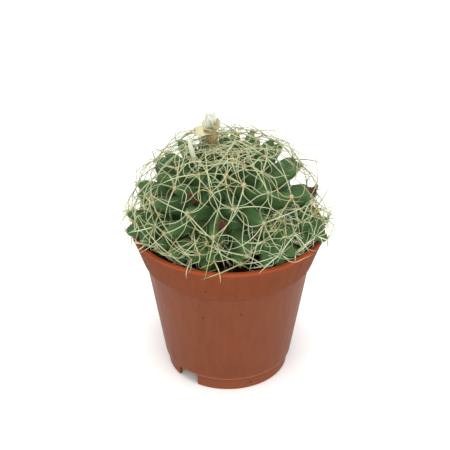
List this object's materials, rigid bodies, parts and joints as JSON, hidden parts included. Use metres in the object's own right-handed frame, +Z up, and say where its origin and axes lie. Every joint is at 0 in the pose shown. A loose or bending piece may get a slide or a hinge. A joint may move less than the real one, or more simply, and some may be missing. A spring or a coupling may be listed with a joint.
{
  "type": "potted bird's nest cactus",
  "caption": "Bird's nest cactus: a squat head of long green tubercles under a nest of straw-coloured spines, with offset heads and small flowers, in a flared brown plastic nursery pot.",
  "frame": {"origin": "on the surface that the pot stands on, under the middle of the object and on the pot's axis", "axes": "+Z up the pot's axis, the pictured front of the plant towards -Y, +X to its right"},
  "size_m": [0.092, 0.092, 0.1246],
  "materials": {
    "pot_plastic": "satin",
    "potting_mix": "rough",
    "cactus_flesh": "satin",
    "young_flesh": "satin",
    "spine_straw": "satin",
    "areole_wool": "matte",
    "wilting_sepals": "matte",
    "white_petals": "satin",
    "dry_flower": "matte"
  },
  "bodies": {
    "root": {"pot": "pot_plastic", "soil": "potting_mix", "mother_head": "cactus_flesh", "offset_front": "young_flesh", "offset_front_right": "cactus_flesh", "offset_right": "cactus_flesh", "offset_left": "cactus_flesh", "offset_back": "cactus_flesh", "flower_tube": "wilting_sepals", "flower_petals": "white_petals", "flower_closed": "white_petals", "withered_flower_left": "dry_flower", "withered_flower_middle": "dry_flower", "withered_flower_right": "dry_flower"}
  },
  "joints": []
}
